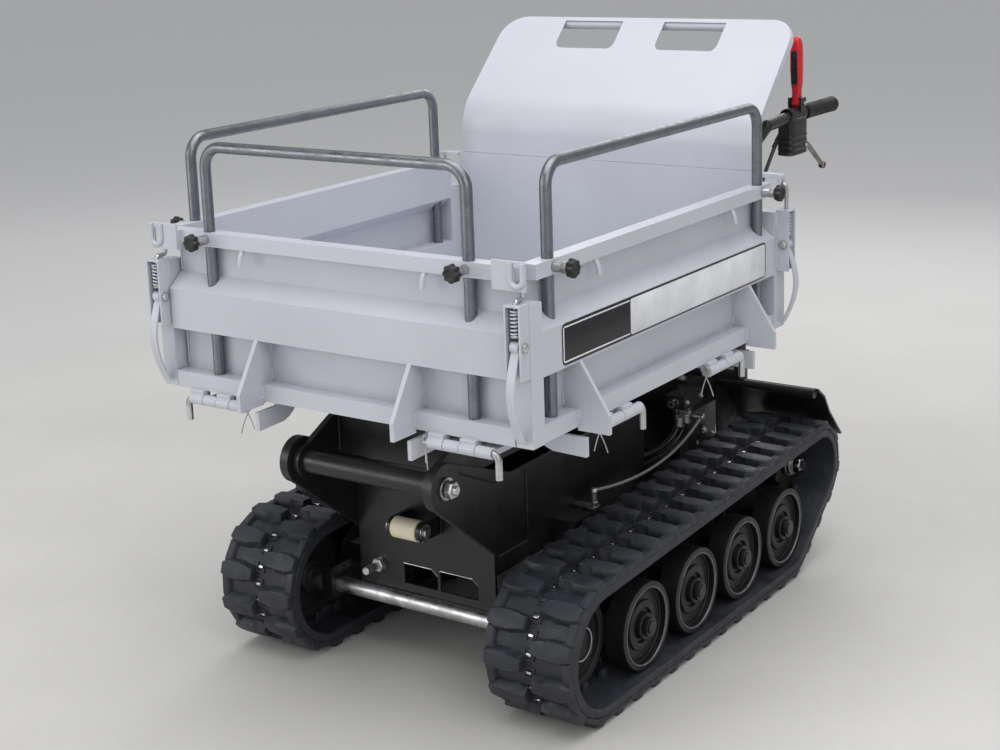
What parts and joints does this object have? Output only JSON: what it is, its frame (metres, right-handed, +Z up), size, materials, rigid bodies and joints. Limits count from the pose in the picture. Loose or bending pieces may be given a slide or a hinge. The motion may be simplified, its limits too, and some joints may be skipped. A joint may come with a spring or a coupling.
{
  "type": "tracked power carrier",
  "caption": "Walk-behind tracked carrier with a tipping drop-side bed, removable bent rails, spring latches, leaning headboard and rear handlebar.",
  "frame": {"origin": "on the ground, under the middle of the overall box", "axes": "+Y to the rear, towards the handlebar; +X to the right in a view of the front; +Z up"},
  "size_m": [0.918, 1.381, 1.1513],
  "materials": {
    "painted_grey": "satin paint",
    "painted_black": "semi-gloss paint",
    "gearbox_black": "painted casting",
    "engine_alloy": "casting",
    "black_plastic": "fine grain",
    "hose_rubber": "smooth",
    "grip_rubber": "matte",
    "track_rubber": "matte",
    "wheel_black": "satin",
    "sprocket_steel": "painted",
    "nylon": "smooth",
    "zinc_steel": "zinc plate",
    "rail_grey": "metallic paint",
    "red_plastic": "gloss",
    "lever_steel": "brushed"
  },
  "bodies": {
    "chassis": {"chassis_frame": "painted_black", "track_frames": "painted_black", "front_axle": "zinc_steel", "track_left": "track_rubber", "track_right": "track_rubber", "rear_guards": "painted_black", "gearbox": "gearbox_black", "engine_block": "engine_alloy", "engine_cover": "black_plastic", "engine_fittings": "black_plastic", "hydraulic_unit": "black_plastic", "hoses_and_cables": "hose_rubber", "handlebar": "painted_black", "grips": "grip_rubber", "pivot_tube": "painted_black"},
    "bed": {"bed_floor": "painted_grey", "bed_subframe": "painted_black", "headboard_sheet": "painted_grey", "headboard_frame": "painted_grey", "hinge_pins": "zinc_steel"},
    "front_board": {"front_board": "painted_grey"},
    "left_board": {"left_board": "painted_grey"},
    "right_board": {"right_board": "painted_grey"},
    "latch_lever_front_left": {"latch_lever_front_left": "painted_grey"},
    "latch_lever_front_right": {"latch_lever_front_right": "painted_grey"},
    "latch_lever_rear_left": {"latch_lever_rear_left": "painted_grey"},
    "latch_lever_rear_right": {"latch_lever_rear_right": "painted_grey"},
    "cylinder_barrel": {"cylinder_barrel": "painted_black"},
    "tip_lever": {"tip_lever": "black_plastic"},
    "gear_lever": {"gear_lever": "black_plastic"},
    "front_knob_left": {"front_knob_left": "black_plastic"},
    "front_knob_right": {"front_knob_right": "black_plastic"},
    "left_knob_front": {"left_knob_front": "black_plastic"},
    "left_knob_rear": {"left_knob_rear": "black_plastic"},
    "right_knob_front": {"right_knob_front": "black_plastic"},
    "right_knob_rear": {"right_knob_rear": "black_plastic"},
    "idler_left": {"idler_left": "wheel_black"},
    "idler_right": {"idler_right": "wheel_black"},
    "road_wheel_left_1": {"road_wheel_left_1": "wheel_black"},
    "road_wheel_left_2": {"road_wheel_left_2": "wheel_black"},
    "road_wheel_left_3": {"road_wheel_left_3": "wheel_black"},
    "road_wheel_left_4": {"road_wheel_left_4": "wheel_black"},
    "road_wheel_right_1": {"road_wheel_right_1": "wheel_black"},
    "road_wheel_right_2": {"road_wheel_right_2": "wheel_black"},
    "road_wheel_right_3": {"road_wheel_right_3": "wheel_black"},
    "road_wheel_right_4": {"road_wheel_right_4": "wheel_black"},
    "sprocket_left": {"sprocket_left": "sprocket_steel"},
    "sprocket_right": {"sprocket_right": "sprocket_steel"},
    "nylon_roller": {"nylon_roller": "nylon"},
    "cylinder_rod": {"cylinder_rod": "zinc_steel"},
    "latch_hook_front_left": {"latch_hook_front_left": "zinc_steel"},
    "latch_hook_front_right": {"latch_hook_front_right": "zinc_steel"},
    "latch_hook_rear_left": {"latch_hook_rear_left": "zinc_steel"},
    "latch_hook_rear_right": {"latch_hook_rear_right": "zinc_steel"},
    "front_rail": {"front_rail": "rail_grey"},
    "left_rail": {"left_rail": "rail_grey"},
    "right_rail": {"right_rail": "rail_grey"},
    "clutch_lever": {"clutch_lever": "red_plastic"},
    "steering_lever_left": {"steering_lever_left": "lever_steel"},
    "steering_lever_right": {"steering_lever_right": "lever_steel"}
  },
  "joints": [
    {"name": "bed_tip", "type": "hinge", "parent": "chassis", "child": "bed", "pos_m": [0, -0.5525, 0.438], "axis": [1, 0, 0], "range_deg": [0, 50]},
    {"name": "barrel_swing", "type": "hinge", "parent": "chassis", "child": "cylinder_barrel", "pos_m": [0, -0.0355, 0.3], "axis": [1, 0, 0], "range_deg": [-4.67, 0]},
    {"name": "rod_extend", "type": "slide", "parent": "cylinder_barrel", "child": "cylinder_rod", "axis": [0, -0.8027, 0.5963], "range_m": [0, 0.207]},
    {"name": "front_board_fold", "type": "hinge", "parent": "bed", "child": "front_board", "pos_m": [0, -0.6375, 0.551], "axis": [1, 0, 0], "range_deg": [0, 90]},
    {"name": "right_board_fold", "type": "hinge", "parent": "bed", "child": "right_board", "pos_m": [0.406, 0, 0.551], "axis": [0, 1, 0], "range_deg": [0, 90]},
    {"name": "left_board_fold", "type": "hinge", "parent": "bed", "child": "left_board", "pos_m": [-0.406, 0, 0.551], "axis": [0, -1, 0], "range_deg": [0, 90]},
    {"name": "front_rail_lift", "type": "slide", "parent": "front_board", "child": "front_rail", "axis": [0, 0, 1], "range_m": [0, 0.1]},
    {"name": "left_rail_lift", "type": "slide", "parent": "left_board", "child": "left_rail", "axis": [0, 0, 1], "range_m": [0, 0.1]},
    {"name": "right_rail_lift", "type": "slide", "parent": "right_board", "child": "right_rail", "axis": [0, 0, 1], "range_m": [0, 0.1]},
    {"name": "front_knob_left_turn", "type": "hinge", "parent": "front_board", "child": "front_knob_left", "pos_m": [-0.281, -0.6555, 0.8455], "axis": [0, -1, 0], "continuous": true},
    {"name": "front_knob_right_turn", "type": "hinge", "parent": "front_board", "child": "front_knob_right", "pos_m": [0.281, -0.6555, 0.8455], "axis": [0, -1, 0], "continuous": true},
    {"name": "left_knob_front_turn", "type": "hinge", "parent": "left_board", "child": "left_knob_front", "pos_m": [-0.424, -0.5455, 0.8455], "axis": [-1, 0, 0], "continuous": true},
    {"name": "left_knob_rear_turn", "type": "hinge", "parent": "left_board", "child": "left_knob_rear", "pos_m": [-0.424, 0.1915, 0.8455], "axis": [-1, 0, 0], "continuous": true},
    {"name": "right_knob_front_turn", "type": "hinge", "parent": "right_board", "child": "right_knob_front", "pos_m": [0.424, -0.5455, 0.8455], "axis": [1, 0, 0], "continuous": true},
    {"name": "right_knob_rear_turn", "type": "hinge", "parent": "right_board", "child": "right_knob_rear", "pos_m": [0.424, 0.1915, 0.8455], "axis": [1, 0, 0], "continuous": true},
    {"name": "latch_front_left_swing", "type": "hinge", "parent": "left_board", "child": "latch_lever_front_left", "pos_m": [-0.38825, -0.6455, 0.736], "axis": [-1, 0, 0], "range_deg": [0, 80]},
    {"name": "latch_rear_left_swing", "type": "hinge", "parent": "left_board", "child": "latch_lever_rear_left", "pos_m": [-0.418, 0.249, 0.736], "axis": [0, 1, 0], "range_deg": [0, 80]},
    {"name": "latch_hook_front_left_lift", "type": "slide", "parent": "left_board", "child": "latch_hook_front_left", "axis": [0, 0, 1], "range_m": [0, 0.004]},
    {"name": "latch_hook_rear_left_lift", "type": "slide", "parent": "left_board", "child": "latch_hook_rear_left", "axis": [0, 0, 1], "range_m": [0, 0.004]},
    {"name": "latch_front_right_swing", "type": "hinge", "parent": "right_board", "child": "latch_lever_front_right", "pos_m": [0.38825, -0.6455, 0.736], "axis": [-1, 0, 0], "range_deg": [0, 80]},
    {"name": "latch_rear_right_swing", "type": "hinge", "parent": "right_board", "child": "latch_lever_rear_right", "pos_m": [0.418, 0.249, 0.736], "axis": [0, -1, 0], "range_deg": [0, 80]},
    {"name": "latch_hook_front_right_lift", "type": "slide", "parent": "right_board", "child": "latch_hook_front_right", "axis": [0, 0, 1], "range_m": [0, 0.004]},
    {"name": "latch_hook_rear_right_lift", "type": "slide", "parent": "right_board", "child": "latch_hook_rear_right", "axis": [0, 0, 1], "range_m": [0, 0.004]},
    {"name": "sprocket_left_spin", "type": "hinge", "parent": "chassis", "child": "sprocket_left", "pos_m": [-0.309, 0.4695, 0.208], "axis": [1, 0, 0], "continuous": true},
    {"name": "idler_left_spin", "type": "hinge", "parent": "chassis", "child": "idler_left", "pos_m": [-0.309, -0.4055, 0.135], "axis": [1, 0, 0], "continuous": true},
    {"name": "road_wheel_left_1_spin", "type": "hinge", "parent": "chassis", "child": "road_wheel_left_1", "pos_m": [-0.309, -0.2455, 0.117], "axis": [1, 0, 0], "continuous": true},
    {"name": "road_wheel_left_2_spin", "type": "hinge", "parent": "chassis", "child": "road_wheel_left_2", "pos_m": [-0.309, -0.0545, 0.117], "axis": [1, 0, 0], "continuous": true},
    {"name": "road_wheel_left_3_spin", "type": "hinge", "parent": "chassis", "child": "road_wheel_left_3", "pos_m": [-0.309, 0.1365, 0.117], "axis": [1, 0, 0], "continuous": true},
    {"name": "road_wheel_left_4_spin", "type": "hinge", "parent": "chassis", "child": "road_wheel_left_4", "pos_m": [-0.309, 0.3275, 0.117], "axis": [1, 0, 0], "continuous": true},
    {"name": "sprocket_right_spin", "type": "hinge", "parent": "chassis", "child": "sprocket_right", "pos_m": [0.309, 0.4695, 0.208], "axis": [1, 0, 0], "continuous": true},
    {"name": "idler_right_spin", "type": "hinge", "parent": "chassis", "child": "idler_right", "pos_m": [0.309, -0.4055, 0.135], "axis": [1, 0, 0], "continuous": true},
    {"name": "road_wheel_right_1_spin", "type": "hinge", "parent": "chassis", "child": "road_wheel_right_1", "pos_m": [0.309, -0.2455, 0.117], "axis": [1, 0, 0], "continuous": true},
    {"name": "road_wheel_right_2_spin", "type": "hinge", "parent": "chassis", "child": "road_wheel_right_2", "pos_m": [0.309, -0.0545, 0.117], "axis": [1, 0, 0], "continuous": true},
    {"name": "road_wheel_right_3_spin", "type": "hinge", "parent": "chassis", "child": "road_wheel_right_3", "pos_m": [0.309, 0.1365, 0.117], "axis": [1, 0, 0], "continuous": true},
    {"name": "road_wheel_right_4_spin", "type": "hinge", "parent": "chassis", "child": "road_wheel_right_4", "pos_m": [0.309, 0.3275, 0.117], "axis": [1, 0, 0], "continuous": true},
    {"name": "roller_spin", "type": "hinge", "parent": "chassis", "child": "nylon_roller", "pos_m": [0, -0.4475, 0.299], "axis": [1, 0, 0], "continuous": true},
    {"name": "clutch_squeeze", "type": "hinge", "parent": "chassis", "child": "clutch_lever", "pos_m": [0.315, 0.5145, 0.974], "axis": [-1, 0, 0], "range_deg": [0, 70], "stiffness_Nm_per_rad": 0.6, "springref_deg": -20.05},
    {"name": "steering_left_pull", "type": "hinge", "parent": "chassis", "child": "steering_lever_left", "pos_m": [-0.315, 0.5145, 0.888], "axis": [1, 0, 0], "range_deg": [0, 22], "stiffness_Nm_per_rad": 1.5, "springref_deg": -17.19},
    {"name": "steering_right_pull", "type": "hinge", "parent": "chassis", "child": "steering_lever_right", "pos_m": [0.315, 0.5145, 0.888], "axis": [1, 0, 0], "range_deg": [0, 22], "stiffness_Nm_per_rad": 1.5, "springref_deg": -17.19},
    {"name": "tip_lever_move", "type": "hinge", "parent": "chassis", "child": "tip_lever", "pos_m": [0.118, 0.5095, 0.87], "axis": [1, 0, 0], "range_deg": [-12, 12], "stiffness_Nm_per_rad": 2},
    {"name": "gear_lever_move", "type": "hinge", "parent": "chassis", "child": "gear_lever", "pos_m": [-0.118, 0.5095, 0.87], "axis": [1, 0, 0], "range_deg": [-12, 12]}
  ],
  "couplings": [
    {"joint": "barrel_swing", "follows": "bed_tip", "ratio": -0.08932},
    {"joint": "rod_extend", "follows": "bed_tip", "m_per_rad": 0.23611},
    {"joint": "latch_hook_front_left_lift", "follows": "latch_front_left_swing", "m_per_rad": 0.002862},
    {"joint": "latch_hook_rear_left_lift", "follows": "latch_rear_left_swing", "m_per_rad": 0.002862},
    {"joint": "latch_hook_front_right_lift", "follows": "latch_front_right_swing", "m_per_rad": 0.002862},
    {"joint": "latch_hook_rear_right_lift", "follows": "latch_rear_right_swing", "m_per_rad": 0.002862},
    {"joint": "idler_left_spin", "follows": "sprocket_left_spin", "ratio": 0.67593},
    {"joint": "road_wheel_left_1_spin", "follows": "sprocket_left_spin", "ratio": 0.81111},
    {"joint": "road_wheel_left_2_spin", "follows": "sprocket_left_spin", "ratio": 0.81111},
    {"joint": "road_wheel_left_3_spin", "follows": "sprocket_left_spin", "ratio": 0.81111},
    {"joint": "road_wheel_left_4_spin", "follows": "sprocket_left_spin", "ratio": 0.81111},
    {"joint": "idler_right_spin", "follows": "sprocket_right_spin", "ratio": 0.67593},
    {"joint": "road_wheel_right_1_spin", "follows": "sprocket_right_spin", "ratio": 0.81111},
    {"joint": "road_wheel_right_2_spin", "follows": "sprocket_right_spin", "ratio": 0.81111},
    {"joint": "road_wheel_right_3_spin", "follows": "sprocket_right_spin", "ratio": 0.81111},
    {"joint": "road_wheel_right_4_spin", "follows": "sprocket_right_spin", "ratio": 0.81111}
  ]
}
